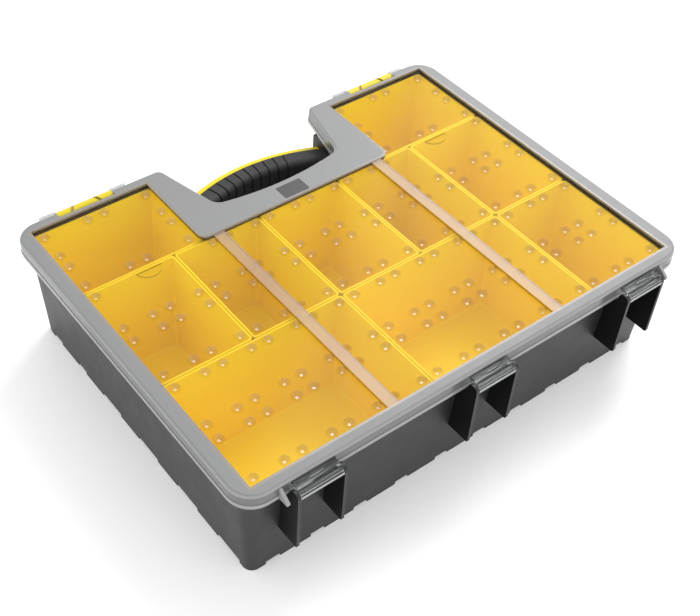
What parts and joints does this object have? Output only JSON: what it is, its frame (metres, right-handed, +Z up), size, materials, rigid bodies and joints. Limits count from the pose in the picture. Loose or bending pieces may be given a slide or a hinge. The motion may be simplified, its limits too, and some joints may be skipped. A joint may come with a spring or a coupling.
{
  "type": "small parts organizer case",
  "caption": "Carrying case for small parts with a clear hinged lid, swing latches, a gripped carrying handle set in a bay and lift-out bins.",
  "frame": {"origin": "centre of the overall footprint, on the plane under the feet", "axes": "+X along the hinge side, +Y from the hinge side to the handle side, +Z up"},
  "size_m": [0.424, 0.334, 0.105],
  "materials": {
    "tub": "fine-grained dark grey moulding",
    "lid_frame": "clear moulding, frosted on the plateau and glassy at its edges",
    "lid_panel": "clear smooth moulding",
    "label": "bare smooth plate",
    "latch": "satin yellow moulding",
    "handle": "satin yellow moulding",
    "grip": "soft matt overmoulding",
    "pin": "drawn rod",
    "bin": "smooth orange-yellow moulding"
  },
  "bodies": {
    "base": {"tub": "tub", "handle_core": "handle", "handle_grip": "grip", "hinge_pin_left": "pin", "hinge_pin_center": "pin", "hinge_pin_right": "pin", "bin_near_large_left": "bin", "bin_near_large_center": "bin", "bin_near_small": "bin", "bin_middle_1": "bin", "bin_middle_2": "bin", "bin_middle_3": "bin", "bin_middle_4": "bin", "bin_middle_5": "bin", "bin_corner_left": "bin", "bin_corner_right": "bin"},
    "lid": {"lid_frame": "lid_frame", "lid_panel": "lid_panel", "label_plate": "label"},
    "latch_left": {"latch_left": "latch"},
    "latch_right": {"latch_right": "latch"}
  },
  "joints": [
    {"name": "lid_hinge", "type": "hinge", "parent": "base", "child": "lid", "pos_m": [0, -0.1623, 0.095], "axis": [1, 0, 0], "range_deg": [0, 105]},
    {"name": "latch_left_pivot", "type": "hinge", "parent": "lid", "child": "latch_left", "pos_m": [-0.147, 0.1618, 0.0988], "axis": [1, 0, 0], "range_deg": [0, 95]},
    {"name": "latch_right_pivot", "type": "hinge", "parent": "lid", "child": "latch_right", "pos_m": [0.147, 0.1618, 0.0988], "axis": [1, 0, 0], "range_deg": [0, 95]}
  ]
}
